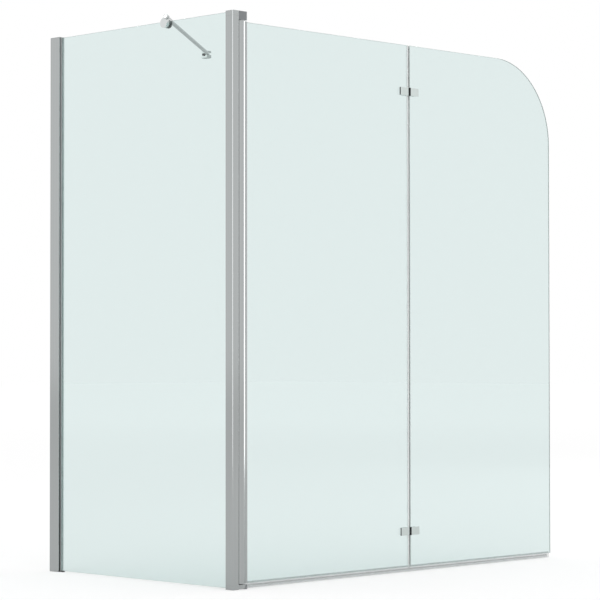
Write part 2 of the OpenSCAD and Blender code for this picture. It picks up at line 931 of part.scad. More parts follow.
// Front plate of a glass hinge, drawn for the inner pane with the fold axis at zero: own knuckles
// at the given heights, and a threaded boss that passes through the glass
module front_plate(knuckles) {
    difference() {
        union() {
            box([-hinge_reach, -plate_y - fold_y, -hinge_h / 2],
                [-plate_end, -face_y - fold_y, hinge_h / 2]);
            for (k = knuckles) {
                translate([0, 0, k[0]])
                    cylinder(h = k[1] - k[0], r = knuckle_r);
                box([-plate_end - cut, -plate_y - fold_y, k[0]], [0, -face_y - fold_y, k[1]]);
            }
            rod_y(-face_y - fold_y - 0.5, half_glass - fold_y - slip_gap, -screw_off, 0, boss_r);
        }
        translate([0, 0, -hinge_h])
            cylinder(h = 2 * hinge_h, r = hinge_pin_r + run_gap);
        rod_y(-half_glass - fold_y, half_glass - fold_y + cut, -screw_off, 0, hinge_screw_r);
    }
}

inner_knuckles = [[-hinge_h / 2, -knuckle_h / 2 - move_gap / 2],
    [knuckle_h / 2 + move_gap / 2, hinge_h / 2]];
outer_knuckles = [[-knuckle_h / 2 + move_gap / 2, knuckle_h / 2 - move_gap / 2]];

// Places a hinge piece drawn for the inner pane at the seam, on the inner or the outer pane
module hinge_at(z, outer = false) {
    translate([seam_x, fold_y, z])
        mirror([outer ? 1 : 0, 0, 0])
            children();
}

module upper_hinge_inner_plate() {
    color("gainsboro")
        hinge_at(hinge_zs[0])
            front_plate(inner_knuckles);
}

module lower_hinge_inner_plate() {
    color("gainsboro")
        hinge_at(hinge_zs[1])
            front_plate(inner_knuckles);
}

module back_plate() {
    difference() {
        box([-back_reach, face_y - fold_y, -hinge_h / 2],
            [-back_start, plate_y - fold_y, hinge_h / 2]);
        rod_y(face_y - fold_y - cut, plate_y - fold_y + cut, -screw_off, 0,
            hinge_screw_r + slip_gap);
        translate([-screw_off, plate_y - fold_y - 2, 0])
            rotate([-90, 0, 0])
                cylinder(h = 2 + 0.01, r1 = hinge_screw_r + slip_gap, r2 = 2 * hinge_screw_r);
    }
}

// Front and back pads of one hinge side; the front one has a sleeve in the glass bore
module hinge_pad_pair() {
    difference() {
        union() {
            box([-hinge_reach + 0.5, -face_y - fold_y, -hinge_h / 2 + 0.5],
                [-back_start, -half_glass - fold_y, hinge_h / 2 - 0.5]);
            rod_y(-half_glass - fold_y - 0.4, half_glass - fold_y - slip_gap, -screw_off, 0,
                glass_hole_r);
        }
        rod_y(-face_y - fold_y - cut, half_glass - fold_y + cut, -screw_off, 0, boss_r);
    }
    difference() {
        box([-back_reach + 0.5, half_glass - fold_y, -hinge_h / 2 + 0.5],
            [-back_start, face_y - fold_y, hinge_h / 2 - 0.5]);
        rod_y(half_glass - fold_y - cut, face_y - fold_y + cut, -screw_off, 0, boss_r);
    }
}

// Countersunk screw from the back plate into the front plate's boss
module hinge_screw() {
    difference() {
        union() {
            rod_y(-half_glass - fold_y + 1, plate_y - fold_y - 1, -screw_off, 0, hinge_screw_r);
            translate([-screw_off, plate_y - fold_y - 2, 0])
                rotate([-90, 0, 0])
                    cylinder(h = 1.9, r1 = hinge_screw_r, r2 = 2 * hinge_screw_r - 0.1);
        }
        translate([-screw_off, plate_y - fold_y - 1.5, 0])
            rotate([-90, 0, 0])
                cylinder(h = 3, r = 1.3, $fn = 6);
    }
}

module inner_hinge_back_plates() {
    color("gainsboro")
        for (z = hinge_zs)
            hinge_at(z)
                back_plate();
}

module inner_hinge_pads() {
    color("lightgray")
        for (z = hinge_zs)
            hinge_at(z)
                hinge_pad_pair();
}

module inner_hinge_screws() {
    color("gainsboro")
        for (z = hinge_zs)
            hinge_at(z)
                hinge_screw();
}

module hinge_pins() {
    color("gainsboro")
        for (z = hinge_zs)
            translate([seam_x, fold_y, z - hinge_h / 2 + 0.3])
                cylinder(h = hinge_h - 0.6, r = hinge_pin_r);
}

// Outer leaf

module outer_glass() {
    color("lightcyan", 0.4)
        difference() {
            translate([0, half_glass, 0])
                rotate([90, 0, 0])
                    linear_extrude(glass_t) {
                        translate([outer_x0, leaf_z0])
                            square([end_x - outer_x0, leaf_z1 - corner_r - leaf_z0]);
                        translate([outer_x0, leaf_z0])
                            square([end_x - corner_r - outer_x0, leaf_z1 - leaf_z0]);
                        translate([end_x - corner_r, leaf_z1 - corner_r])
                            circle(corner_r, $fn = 180);
                    }
            for (z = hinge_zs)
                rod_y(-glass_t, glass_t, seam_x + screw_off, z, glass_hole_r);
        }
}

module outer_bottom_seal() {
    color("lightgray")
        along_x(seam_x + seal_gap, end_x - seal_short)
            seal_section();
}

module outer_seam_seal() {
    color("gray")
        translate([2 * seam_x, 0, 0])
            mirror([1, 0, 0])
                seam_seal(false);
}

module upper_hinge_outer_plate() {
    color("gainsboro")
        hinge_at(hinge_zs[0], true)
            front_plate(outer_knuckles);
}

module lower_hinge_outer_plate() {
    color("gainsboro")
        hinge_at(hinge_zs[1], true)
            front_plate(outer_knuckles);
}

module outer_hinge_back_plates() {
    color("gainsboro")
        for (z = hinge_zs)
            hinge_at(z, true)
                back_plate();
}

module outer_hinge_pads() {
    color("lightgray")
        for (z = hinge_zs)
            hinge_at(z, true)
                hinge_pad_pair();
}

module outer_hinge_screws() {
    color("gainsboro")
        for (z = hinge_zs)
            hinge_at(z, true)
                hinge_screw();
}

wall_channel();
wall_top_cap();
wall_bottom_cap();
glazing_profile();
lock_screws();
lock_screw_covers();
channel_gaskets();
wall_gaskets();
side_glass();
setting_blocks();
corner_post();
post_gaskets();
post_top_cap();
post_bottom_cap();
post_seal();
top_pivot_bracket();
bottom_pivot_bracket();
bracket_screws();
top_pivot_block();
bottom_pivot_seat();
bottom_pivot_block();
top_pivot_pin();
bottom_pivot_pin();
bar_tube();
bar_end_plug();
bar_clamp();
clamp_outer_pad();
clamp_inner_pad();
clamp_screw();
bar_eye();
bar_wall_bracket();
bar_wall_plate();
bar_swivel_pin();
bar_bracket_screw();
pivot_rail();
rail_top_bush();
rail_bottom_bush();
rail_gaskets();
inner_glass();
inner_bottom_seal();
inner_seam_seal();
upper_hinge_inner_plate();
lower_hinge_inner_plate();
inner_hinge_back_plates();
inner_hinge_pads();
inner_hinge_screws();
hinge_pins();
outer_glass();
outer_bottom_seal();
outer_seam_seal();
upper_hinge_outer_plate();
lower_hinge_outer_plate();
outer_hinge_back_plates();
outer_hinge_pads();
outer_hinge_screws();
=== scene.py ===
import json
import math
import bmesh
import bpy
from mathutils import Matrix, Vector


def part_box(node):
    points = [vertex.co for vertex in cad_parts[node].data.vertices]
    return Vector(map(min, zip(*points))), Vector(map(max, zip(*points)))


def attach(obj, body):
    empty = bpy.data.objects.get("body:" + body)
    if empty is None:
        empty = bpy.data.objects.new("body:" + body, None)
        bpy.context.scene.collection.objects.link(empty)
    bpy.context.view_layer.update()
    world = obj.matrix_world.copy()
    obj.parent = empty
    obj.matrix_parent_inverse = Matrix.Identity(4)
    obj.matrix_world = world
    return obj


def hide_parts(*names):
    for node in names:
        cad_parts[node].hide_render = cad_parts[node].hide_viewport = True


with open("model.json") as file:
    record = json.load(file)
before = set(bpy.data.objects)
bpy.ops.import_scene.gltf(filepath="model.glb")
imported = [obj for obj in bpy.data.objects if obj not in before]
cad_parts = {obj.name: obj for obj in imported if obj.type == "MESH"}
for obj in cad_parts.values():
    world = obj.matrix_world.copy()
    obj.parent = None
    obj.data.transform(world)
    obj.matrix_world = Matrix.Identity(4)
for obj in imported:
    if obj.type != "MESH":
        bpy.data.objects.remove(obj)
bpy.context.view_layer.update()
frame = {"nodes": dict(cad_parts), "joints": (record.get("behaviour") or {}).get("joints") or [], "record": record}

mm = 0.001
white = (1, 1, 1, 1)
print("frame loaded, pieces:", len(frame["nodes"]))


def linear(hexColour):  # sRGB hex to linear colour with alpha
    parts = [int(hexColour[i:i + 2], 16) / 255 for i in (1, 3, 5)]
    return [p / 12.92 if p <= 0.04045 else ((p + 0.055) / 1.055) ** 2.4 for p in parts] + [1.0]


def addNode(tree, kind, settings=None, inputs=None):  # an input is a constant, or a socket or node to link
    node = tree.nodes.new(kind)
    for name, value in (settings or {}).items():
        setattr(node, name, value)
    for name, value in (inputs or {}).items():
        if isinstance(value, bpy.types.Node):
            value = value.outputs[0]
        if isinstance(value, bpy.types.NodeSocket):
            tree.links.new(value, node.inputs[name])
        else:
            node.inputs[name].default_value = value
    return node


def newMaterial(name):
    material = bpy.data.materials.new(name)
    material.use_nodes = True
    material.node_tree.nodes.clear()
    return material, material.node_tree


def bodyOf(node):  # the rigid body that carries a CAD node
    for body, nodes in frame["record"]["behaviour"]["bodies"].items():
        if node in nodes:
            return body


def slotOf(node):  # a CAD node's material slot
    for part in frame["record"]["subparts"]:
        if part["node"] == node:
            return part["material_slot"]


def addPiece(name, mesh, node):  # a finished piece that stands for one CAD node
    piece = bpy.data.objects.new(name, mesh)
    bpy.context.collection.objects.link(piece)
    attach(piece, bodyOf(node))
    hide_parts(node)
    return piece


# The view of the photograph, found by fitting the object's edges to the picture's.
viewSpec = {
    "place": (-3.66172, -3.86137, 0.55151),  # metres
    "heading": -45.2022,  # degrees
    "pitch": 91.3916,
    "roll": -0.0495,
    "lens": 135.53,  # mm
    "sight": 100,  # metres
}
camera = bpy.data.objects.new("photoCamera", bpy.data.cameras.new("photoCamera"))
bpy.context.collection.objects.link(camera)
camera.data.lens = viewSpec["lens"]
camera.data.clip_end = viewSpec["sight"]
camera.matrix_world = (Matrix.Translation(viewSpec["place"])
                       @ Matrix.Rotation(math.radians(viewSpec["heading"]), 4, "Z")
                       @ Matrix.Rotation(math.radians(viewSpec["pitch"]), 4, "X")
                       @ Matrix.Rotation(math.radians(viewSpec["roll"]), 4, "Z"))
bpy.context.scene.camera = camera
bpy.context.scene.view_settings.view_transform = "Standard"

lightSpec = {
    "white": 1.0,  # what the camera, metal and glass see
    "soft": 0.80,  # what falls on matt surfaces
    "sun": {"level": 0.75, "width": 70, "heading": -30, "tilt": 20},  # degrees; wide, so shadows are soft
    "strips": [  # direction seen from the object, distance, width, low and high edge, brightness
        {"azimuth": 350, "distance": 6.0, "width": 3.1, "low": 0.0, "high": 3.6, "level": 2.3},
        {"azimuth": 191, "distance": 6.0, "width": 3.4, "low": 0.0, "high": 3.6, "level": 1.9},
    ],
    "card": {"azimuth": 221.5, "distance": 12.0, "width": 3.4, "high": 8.0, "level": 0.78},
}
world = bpy.data.worlds.new("whiteStudio")
bpy.context.scene.world = world
world.use_nodes = True
sky = world.node_tree
sky.nodes.clear()
path = addNode(sky, "ShaderNodeLightPath")
seen = addNode(sky, "ShaderNodeMath", {"operation": "MAXIMUM"},
               {0: path.outputs["Is Camera Ray"], 1: path.outputs["Is Glossy Ray"]})
seen = addNode(sky, "ShaderNodeMath", {"operation": "MAXIMUM"},
               {0: seen, 1: path.outputs["Is Transmission Ray"]})
level = addNode(sky, "ShaderNodeMix", {"data_type": "FLOAT"},
                {0: seen, 2: lightSpec["soft"], 3: lightSpec["white"]})
back = addNode(sky, "ShaderNodeBackground", None, {"Color": white, "Strength": level})
addNode(sky, "ShaderNodeOutputWorld", None, {"Surface": back})

sun = bpy.data.objects.new("softSun", bpy.data.lights.new("softSun", "SUN"))
bpy.context.collection.objects.link(sun)
sun.data.energy = lightSpec["sun"]["level"]
sun.data.angle = math.radians(lightSpec["sun"]["width"])
sun.matrix_world = (Matrix.Rotation(math.radians(lightSpec["sun"]["heading"]), 4, "Z")
                    @ Matrix.Rotation(math.radians(lightSpec["sun"]["tilt"]), 4, "X"))

for index, strip in enumerate(lightSpec["strips"]):  # tall soft boxes that draw the highlights on metal
    data = bpy.data.lights.new("strip%d" % index, "AREA")
    data.shape = "RECTANGLE"
    data.size = strip["width"]
    data.size_y = strip["high"] - strip["low"]
    data.energy = strip["level"] * math.pi * data.size * data.size_y
    lamp = bpy.data.objects.new("strip%d" % index, data)
    bpy.context.collection.objects.link(lamp)
    angle = math.radians(strip["azimuth"])
    place = Vector((math.cos(angle), math.sin(angle), 0)) * strip["distance"]
    facing = (-place).to_track_quat("-Z", "Y").to_matrix().to_4x4()
    lamp.matrix_world = Matrix.Translation((place.x, place.y, (strip["high"] + strip["low"]) / 2)) @ facing
    lamp.visible_camera = False
    lamp.visible_transmission = False

card = lightSpec["card"]  # a grey card behind the camera: it dulls what faces the camera square on
cardMaterial, tree = newMaterial("greyCard")
glow = addNode(tree, "ShaderNodeEmission", None, {"Color": white, "Strength": card["level"]})
addNode(tree, "ShaderNodeOutputMaterial", None, {"Surface": glow})
cardMesh = bpy.data.meshes.new("greyCard")
half = card["width"] / 2
cardMesh.from_pydata([(card["distance"], -half, 0), (card["distance"], half, 0),
                      (card["distance"], half, card["high"]), (card["distance"], -half, card["high"])],
                     [], [(0, 1, 2, 3)])
cardMesh.transform(Matrix.Rotation(math.radians(card["azimuth"]), 4, "Z"))
cardMesh.materials.append(cardMaterial)
greyCard = bpy.data.objects.new("greyCard", cardMesh)
bpy.context.collection.objects.link(greyCard)
for ray in ("camera", "diffuse", "transmission", "shadow"):
    setattr(greyCard, "visible_" + ray, False)

floorSpec = {
    "half": 30,  # metres from the middle to an edge
    "drop": 0.2 * mm,  # under the object's feet
    "colour": "#BEBEBE",  # what lamps light, so a shadow stays
    "fill": (0.448, 0.476),  # glow that lifts it to white for the camera, near the object and far off
    "fillInGlass": (0.438, 0.498),
    "fillInMetal": (0.30, 0.30),
    "far": (4.0, 13.0),  # metres over which near turns to far
}
floorMaterial, tree = newMaterial("paleFloor")
path = addNode(tree, "ShaderNodeLightPath")
place = addNode(tree, "ShaderNodeTexCoord")
away = addNode(tree, "ShaderNodeVectorMath", {"operation": "LENGTH"}, {0: place.outputs["Object"]})
fill = 0.0
seenBy = {"Is Camera Ray": "fill", "Is Transmission Ray": "fillInGlass", "Is Glossy Ray": "fillInMetal"}
for ray, name in seenBy.items():
    lift = addNode(tree, "ShaderNodeMapRange", None, {
        "Value": away.outputs["Value"], "From Min": floorSpec["far"][0], "From Max": floorSpec["far"][1],
        "To Min": floorSpec[name][0], "To Max": floorSpec[name][1]})
    lift = addNode(tree, "ShaderNodeMath", {"operation": "MULTIPLY"}, {0: path.outputs[ray], 1: lift})
    fill = addNode(tree, "ShaderNodeMath", {"operation": "MAXIMUM"}, {0: fill, 1: lift})
matt = addNode(tree, "ShaderNodeBsdfDiffuse", None, {"Color": linear(floorSpec["colour"])})
glow = addNode(tree, "ShaderNodeEmission", None, {"Color": white, "Strength": fill})
both = addNode(tree, "ShaderNodeAddShader", None, {0: matt, 1: glow})
addNode(tree, "ShaderNodeOutputMaterial", None, {"Surface": both})
floorMesh = bpy.data.meshes.new("floor")
half, drop = floorSpec["half"], floorSpec["drop"]
floorMesh.from_pydata([(x * half, y * half, -drop) for x, y in ((-1, -1), (1, -1), (1, 1), (-1, 1))],
                      [], [(0, 1, 2, 3)])
floorMesh.materials.append(floorMaterial)
floor = bpy.data.objects.new("floor", floorMesh)
bpy.context.collection.objects.link(floor)
print("camera, light and floor ready")


# Aluminium, extruded and bright anodised: die lines run along each length and soften what it mirrors.
def extrudedAluminium():
    spec = {
        "dark": "#AAAEAE",
        "light": "#B5B8B8",
        "roughness": (0.08, 0.12),
        "line": 3.0 * mm,  # real die lines are under 0.5 mm apart, drawn wider so that they show
        "run": 4000 * mm,  # length over which a line changes
        "relief": 0.002 * mm,
        "strength": 0.3,
    }
    material, tree = newMaterial("brightAnodisedAluminium")
    place = addNode(tree, "ShaderNodeTexCoord")
    across = addNode(tree, "ShaderNodeMapping", None, {
        "Vector": place.outputs["Object"], "Scale": (1 / spec["line"], 1 / spec["line"], 1 / spec["run"])})
    lines = addNode(tree, "ShaderNodeTexNoise", None, {"Vector": across, "Scale": 1.0, "Detail": 1.0})
    tint = addNode(tree, "ShaderNodeMix", {"data_type": "RGBA"}, {
        0: lines.outputs["Fac"], 6: linear(spec["dark"]), 7: linear(spec["light"])})
    gloss = addNode(tree, "ShaderNodeMapRange", None, {
        "Value": lines.outputs["Fac"], "To Min": spec["roughness"][0], "To Max": spec["roughness"][1]})
    relief = addNode(tree, "ShaderNodeBump", None, {
        "Height": lines.outputs["Fac"], "Strength": spec["strength"], "Distance": spec["relief"]})
    surface = addNode(tree, "ShaderNodeBsdfPrincipled", None, {
        "Base Color": tint.outputs[2], "Metallic": 1.0, "Roughness": gloss, "Normal": relief})
    addNode(tree, "ShaderNodeOutputMaterial", None, {"Surface": surface})
    return material


# Polished, plated or blasted metal: handling leaves faint clouds in its colour and gloss, patch across.
# Rim is how bright it turns where it is seen at a slant.
def cloudyMetal(name, dark, light, roughness, patch, rim=1.0):
    material, tree = newMaterial(name)
    place = addNode(tree, "ShaderNodeTexCoord")
    cloud = addNode(tree, "ShaderNodeTexNoise", None, {
        "Vector": place.outputs["Object"], "Scale": 1 / patch, "Detail": 4.0, "Roughness": 0.6})
    tint = addNode(tree, "ShaderNodeMix", {"data_type": "RGBA"}, {
        0: cloud.outputs["Fac"], 6: linear(dark), 7: linear(light)})
    gloss = addNode(tree, "ShaderNodeMapRange", None, {
        "Value": cloud.outputs["Fac"], "To Min": roughness[0], "To Max": roughness[1]})
    surface = addNode(tree, "ShaderNodeBsdfPrincipled", None, {
        "Base Color": tint.outputs[2], "Metallic": 1.0, "Roughness": gloss,
        "Specular Tint": (rim, rim, rim, 1)})
    addNode(tree, "ShaderNodeOutputMaterial", None, {"Surface": surface})
    return material


# Moulded plastic or rubber: the mould leaves a fine grain that breaks up the highlights.
# Real grain is about a tenth of a millimetre wide, drawn wider so that it shows. Foot is painted shade: a
# darker colour at the lower end, fading out at the height given.
def mouldedPlastic(name, dark, light, roughness, grain, relief, ior=1.5, foot=None, shadeHeight=700 * mm):
    material, tree = newMaterial(name)
    place = addNode(tree, "ShaderNodeTexCoord")
    speckle = addNode(tree, "ShaderNodeTexNoise", None, {
        "Vector": place.outputs["Object"], "Scale": 1 / grain, "Detail": 3.0})
    tint = addNode(tree, "ShaderNodeMix", {"data_type": "RGBA"}, {
        0: speckle.outputs["Fac"], 6: linear(dark), 7: linear(light)})
    # painted shade: the colour darkens towards the lower end
    if foot:
        rise = addNode(tree, "ShaderNodeSeparateXYZ", None, {0: place.outputs["Object"]})
        rise = addNode(tree, "ShaderNodeMapRange", None, {
            "Value": rise.outputs["Z"], "From Min": 0.0, "From Max": shadeHeight})
        tint = addNode(tree, "ShaderNodeMix", {"data_type": "RGBA"}, {
            0: rise.outputs["Result"], 6: linear(foot), 7: tint.outputs[2]})
    bump = addNode(tree, "ShaderNodeBump", None, {
        "Height": speckle.outputs["Fac"], "Strength": 0.5, "Distance": relief})
    surface = addNode(tree, "ShaderNodeBsdfPrincipled", None, {
        "Base Color": tint.outputs[2], "Roughness": roughness, "IOR": ior, "Normal": bump})
    addNode(tree, "ShaderNodeOutputMaterial", None, {"Surface": surface})
    return material


# Float glass, cut and toughened: clear, with a cool green-grey cast. Shadow is the tint of the light that
# lamps send through it.
def clearGlass(name, tint, ior, shadow):
    material, tree = newMaterial(name)
    path = addNode(tree, "ShaderNodeLightPath")
    surface = addNode(tree, "ShaderNodeBsdfPrincipled", None, {
        "Base Color": linear(tint), "Roughness": 0.0, "IOR": ior, "Transmission Weight": 1.0})
    passing = addNode(tree, "ShaderNodeBsdfTransparent", None, {"Color": linear(shadow)})
    either = addNode(tree, "ShaderNodeMixShader", None, {
        0: path.outputs["Is Shadow Ray"], 1: surface, 2: passing})
    addNode(tree, "ShaderNodeOutputMaterial", None, {"Surface": either})
    return material


# Glass, ground after cutting: frosted, so that only a little light comes through. The grinding marks are
# under a tenth of a millimetre, drawn wider so that they show.
def groundGlass(name, dark, light, marks=4 * mm):
    material, tree = newMaterial(name)
    place = addNode(tree, "ShaderNodeTexCoord")
    grind = addNode(tree, "ShaderNodeTexNoise", None, {
        "Vector": place.outputs["Object"], "Scale": 1 / marks, "Detail": 3.0})
    tint = addNode(tree, "ShaderNodeMix", {"data_type": "RGBA"}, {
        0: grind.outputs["Fac"], 6: linear(dark), 7: linear(light)})
    surface = addNode(tree, "ShaderNodeBsdfPrincipled", None, {
        "Base Color": tint.outputs[2], "Roughness": 0.5, "IOR": 1.5, "Transmission Weight": 0.25})
    addNode(tree, "ShaderNodeOutputMaterial", None, {"Surface": surface})
    return material


# Soft vinyl, extruded clear: a thin wall that only veils what is behind it, by cover, with a slow haze.
def thinVinyl(name, dark, light, cover, cloud=25 * mm):
    material, tree = newMaterial(name)
    place = addNode(tree, "ShaderNodeTexCoord")
    haze = addNode(tree, "ShaderNodeTexNoise", None, {
        "Vector": place.outputs["Object"], "Scale": 1 / cloud, "Detail": 2.0})
    tint = addNode(tree, "ShaderNodeMix", {"data_type": "RGBA"}, {
        0: haze.outputs["Fac"], 6: linear(dark), 7: linear(light)})
    surface = addNode(tree, "ShaderNodeBsdfPrincipled", None, {
        "Base Color": tint.outputs[2], "Roughness": 0.3, "IOR": 1.5, "Alpha": cover})
    addNode(tree, "ShaderNodeOutputMaterial", None, {"Surface": surface})
    return material


finish = {
    "profile": extrudedAluminium(),
    # ABS, moulded and vacuum metallised to match the profiles: as bright, and a little cloudier
    "cap": cloudyMetal("metallisedAbsCap", "#AAAEAE", "#B5B8B8", roughness=(0.1, 0.14), patch=9 * mm),
    # stainless strip and wire, rolled and drawn bright: soft broad highlights
    "steel": cloudyMetal("brightStainless", "#A9ACAC", "#B8BBBB", roughness=(0.18, 0.3), patch=12 * mm),
    # steel, blackened in a hot oxide bath: it swallows the light and reads as a dark dot
    "black_steel": mouldedPlastic("blackOxideSteel", "#0C0D0E", "#121314", roughness=0.5, grain=1.0 * mm,
                                  relief=0.01 * mm, ior=1.25),
    # brass, polished and chrome plated: sharp mirror images
    "chrome": cloudyMetal("polishedChrome", "#D2D6D6", "#DADDDD", roughness=(0.06, 0.12), patch=15 * mm),
    # zinc, cast, brushed finely and chrome plated: bright, with soft mirror images
    "hinge_metal": cloudyMetal("satinChrome", "#CAD3D1", "#D2DAD8", roughness=(0.15, 0.22), patch=10 * mm),
    # ABS, moulded in dark grey: dull
    "block_plastic": mouldedPlastic("darkGreyAbs", "#7C8082", "#86898B", roughness=0.45, grain=0.8 * mm,
                                    relief=0.03 * mm),
    # acetal, moulded without a pigment: milky and waxy
    "bush_plastic": mouldedPlastic("naturalAcetal", "#B8BCBC", "#C0C4C4", roughness=0.5, grain=0.8 * mm,
                                   relief=0.02 * mm),
    # EPDM, extruded: dark, with hardly a highlight
    "rubber": mouldedPlastic("epdmRubber", "#3A3C3E", "#444648", roughness=0.6, grain=1.2 * mm,
                             relief=0.03 * mm),
    # vinyl, extruded clear: a grey veil
    "clear_pvc": thinVinyl("clearFlexibleVinyl", "#A9B0B0", "#B4BBBB", cover=0.21),
    # nylon, moulded in dark grey: half dull
    "pad_plastic": mouldedPlastic("darkNylonPad", "#4A4E4F", "#545859", roughness=0.5, grain=1.0 * mm,
                                  relief=0.02 * mm),
    "glass": clearGlass("toughenedGlass", "#DFEBEA", ior=1.5, shadow="#F4F9F8"),
}
# glass, ground flat along its edges: a pale grey-green line
groundEdge = groundGlass("groundGlassEdge", "#DCE6E4", "#E4ECEA")
# glass at the leaf's free end, with painted shade: a darker line that stands for the inside of the pane mirrored
# in its edge
freeEdgePaintedShade = groundGlass("glassFreeEdgePaintedShade", "#9AA4A2", "#A4AEAC")
# stainless tube, polished round its length: it darkens towards both flanks. The end plug's sides take it too, as
# painted shade
barSteelAndPlugShade = cloudyMetal("polishedStainlessTubeAndPlugShade", "#B4B8B8", "#BEC2C2", roughness=(0.1, 0.16), patch=20 * mm,
                       rim=0.75)
# vinyl, pressed flat on the glass: hardly seen
clearCheek = thinVinyl("clearVinylCheek", "#B9C2C1", "#C6CDCC", cover=0.02)
# vinyl, extruded as a tube: a faint grey line
clearBulb = thinVinyl("clearVinylBulb", "#BEC5C4", "#C8CFCE", cover=0.10)
# stainless block, with painted light on one flank: almost white, like a reflection of the white room
flankPaintedLight = cloudyMetal("steelFlankPaintedLight", "#EEF2F1", "#F4F7F6", roughness=(0.1, 0.16), patch=8 * mm)
# brass collar, turned and plated, with painted shade that makes it darker than the clamp's face
collarPaintedShade = cloudyMetal("chromeCollarPaintedShade", "#A4A8A8", "#AEB2B2", roughness=(0.15, 0.22), patch=8 * mm)
# stainless block, blasted with fine beads: an even soft grey
satinBlock = cloudyMetal("satinSteelBlock", "#A3A7A6", "#AEB2B1", roughness=(0.2, 0.3), patch=8 * mm)
# aluminium, extruded, etched and anodised: pale, with no mirror images
satinProfile = cloudyMetal("satinAnodisedAluminium", "#C8CCCC", "#D0D4D4", roughness=(0.42, 0.5),
                           patch=15 * mm)
# EPDM, extruded and dusted with talc: grey, with painted shade that turns it nearly black towards the foot
gasketWithFootShade = mouldedPlastic("greyEpdmGasketFootShade", "#707374", "#7A7D7E", roughness=0.6, grain=1.2 * mm,
                            relief=0.02 * mm, foot="#101112")
# ABS, with painted light on the block's underside, which lies in shade: paler than the sides
undersidePaintedLight = mouldedPlastic("greyAbsUndersidePaintedLight", "#A4A8AA", "#ACB0B2", roughness=0.45, grain=0.8 * mm,
                               relief=0.03 * mm)
# thermoplastic rubber, extruded milky: a pale line beside the glass
milkyGasket = mouldedPlastic("milkyTpeGasket", "#DADEDE", "#E4E8E8", roughness=0.5, grain=1.2 * mm,
                             relief=0.02 * mm)
# painted shade, near-black on the rims of the clamp's inner jaw and pad: a dark crescent behind the glass
jawRimPaintedShade = mouldedPlastic("clampRimPaintedShade", "#232526", "#2B2D2E", roughness=0.5, grain=1.0 * mm,
                         relief=0.02 * mm)
# painted shade on the hinges' knuckles and plate ends: nearly black, for the dark line between the plates
knucklePaintedShade = cloudyMetal("hingeKnucklePaintedShade", "#2C2E2F", "#363839", roughness=(0.3, 0.4), patch=6 * mm,
                          rim=0.5)
print("materials ready:", len(bpy.data.materials))


# Machined, extruded and moulded pieces keep the CAD's shape, with its edges eased.
easeSpec = {
    "weld": 0.002 * mm,  # corners closer than this are one
    "flat": 0.4,  # degrees: faces that meet at less than this are one flat face
    "smooth": 35,  # degrees: edges sharper than this stay hard in the shading
    "sharp": 40,  # degrees: edges sharper than this are eased
    "segments": 2,
}


def cleanCopy(node):  # the CAD node's mesh, welded and with flat faces whole again
    mesh = frame["nodes"][node].data.copy()
    shape = bmesh.new()
    shape.from_mesh(mesh)
    bmesh.ops.remove_doubles(shape, verts=shape.verts, dist=easeSpec["weld"])
    bmesh.ops.dissolve_limit(shape, angle_limit=math.radians(easeSpec["flat"]),
                             verts=shape.verts, edges=shape.edges)
    shape.to_mesh(mesh)
    shape.free()
    return mesh


def plainMesh(rough):  # the evaluated object as a mesh of its own, with the object and its modifier gone
    bpy.context.view_layer.update()
    done = bpy.data.meshes.new_from_object(rough.evaluated_get(bpy.context.evaluated_depsgraph_get()))
    bpy.data.objects.remove(rough)
    return done


def easedPiece(node, ease, material):  # ease is the radius of its edges
    mesh = cleanCopy(node)
    mesh.shade_smooth()
    mesh.set_sharp_from_angle(angle=math.radians(easeSpec["smooth"]))
    rough = bpy.data.objects.new("rough", mesh)
    bpy.context.collection.objects.link(rough)
    bevel = rough.modifiers.new("ease", "BEVEL")
    bevel.width = ease
    bevel.segments = easeSpec["segments"]
    bevel.limit_method = "ANGLE"
    bevel.angle_limit = math.radians(easeSpec["sharp"])
    bevel.harden_normals = True
    mesh = plainMesh(rough)
    mesh.materials.clear()
    mesh.materials.append(material)
    return addPiece(node + ".eased", mesh, node)


def repaint(piece, belongs, material):  # gives one more finish to the faces that pass the test
    piece.data.materials.append(material)
    for face in piece.data.polygons:
        if belongs(face.center, face.normal):
            face.material_index = len(piece.data.materials) - 1


easing = {  # edge radius in mm
    "wall_channel": 0.3, "wall_top_cap": 0.4, "wall_bottom_cap": 0.4, "glazing_profile": 0.25,
    "corner_post": 0.25, "post_top_cap": 0.5, "post_bottom_cap": 0.5, "top_pivot_bracket": 0.3,
    "bottom_pivot_bracket": 0.3, "top_pivot_block": 0.3, "bottom_pivot_block": 0.3, "bottom_pivot_seat": 0.4,
    "pivot_rail": 0.3, "bar_bracket_screw": 0.5, "bar_tube": 0.2, "bar_end_plug": 0.4, "bar_clamp": 0.5,
    "bar_eye": 0.3, "bar_wall_bracket": 0.6, "bar_wall_plate": 0.3, "upper_hinge_inner_plate": 0.4,
    "lower_hinge_inner_plate": 0.4, "upper_hinge_outer_plate": 0.4, "lower_hinge_outer_plate": 0.4,
    "inner_hinge_back_plates": 0.4, "outer_hinge_back_plates": 0.4, "clamp_outer_pad": 0.3,
    "clamp_inner_pad": 0.6, "inner_seam_seal": 0.15, "outer_seam_seal": 0.15, "channel_gaskets": 0.2,
    "wall_gaskets": 0.15, "post_gaskets": 0.3, "rail_gaskets": 0.3,
}
ownFinish = {  # pieces that look unlike the rest of their material slot
    "bar_tube": barSteelAndPlugShade, "bar_wall_bracket": satinBlock, "clamp_inner_pad": milkyGasket,
    "clamp_outer_pad": milkyGasket, "inner_seam_seal": clearBulb, "outer_seam_seal": clearBulb,
    "glazing_profile": satinProfile, "channel_gaskets": gasketWithFootShade, "wall_gaskets": milkyGasket,
    "post_gaskets": milkyGasket, "rail_gaskets": milkyGasket,
}
eased = {node: easedPiece(node, ease * mm, ownFinish.get(node, finish[slotOf(node)]))
         for node, ease in easing.items()}

